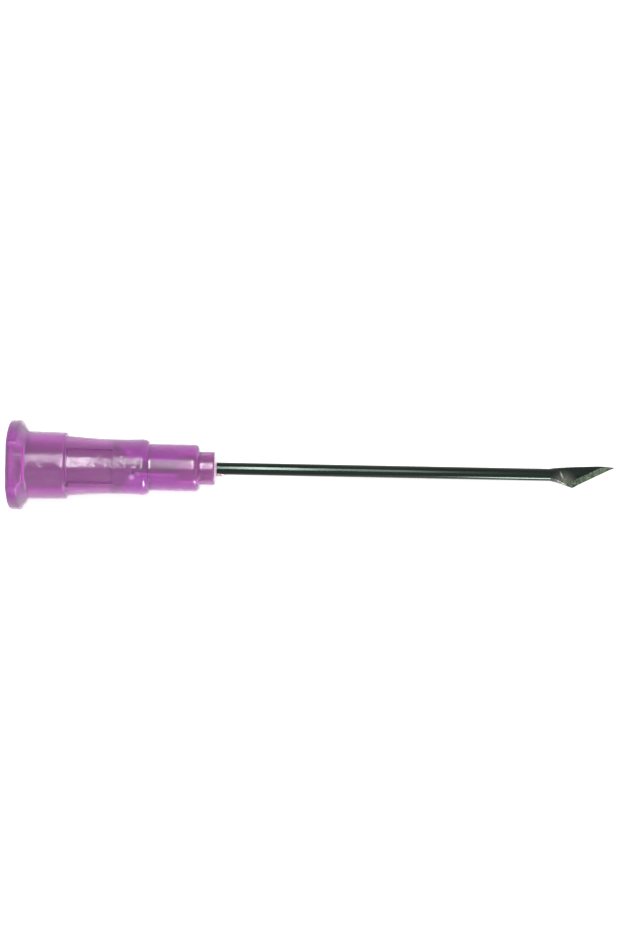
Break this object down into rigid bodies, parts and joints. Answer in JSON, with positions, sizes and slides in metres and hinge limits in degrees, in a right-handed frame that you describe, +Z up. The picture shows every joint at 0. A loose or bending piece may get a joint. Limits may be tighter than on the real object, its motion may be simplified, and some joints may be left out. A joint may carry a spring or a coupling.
{
  "type": "subcision needle",
  "caption": "Hypodermic-type subcision needle with a translucent lilac lug-lock hub, a straight steel tube and a flattened, slanted blade tip.",
  "frame": {"origin": "middle of the hub's Luer mouth, on the needle's own axis", "axes": "+X towards the blade's tip along the surface that the needle lies on, +Z up, the blade's heel towards -Y; the needle's own axis falls 3.6 degrees from +X towards the tip, because the wide flange props the hub up"},
  "size_m": [0.0526, 0.0078, 0.0069],
  "materials": {
    "hub_polypropylene": "moulded translucent lilac polypropylene, glossy with a faint waviness",
    "hub_adhesive": "cured cloudy adhesive, glossy",
    "cannula_steel": "drawn stainless tube, bright along its length, with a coarse ground bevel on the blade"
  },
  "bodies": {
    "root": {"hub": "hub_polypropylene", "adhesive": "hub_adhesive", "cannula": "cannula_steel"}
  },
  "joints": []
}
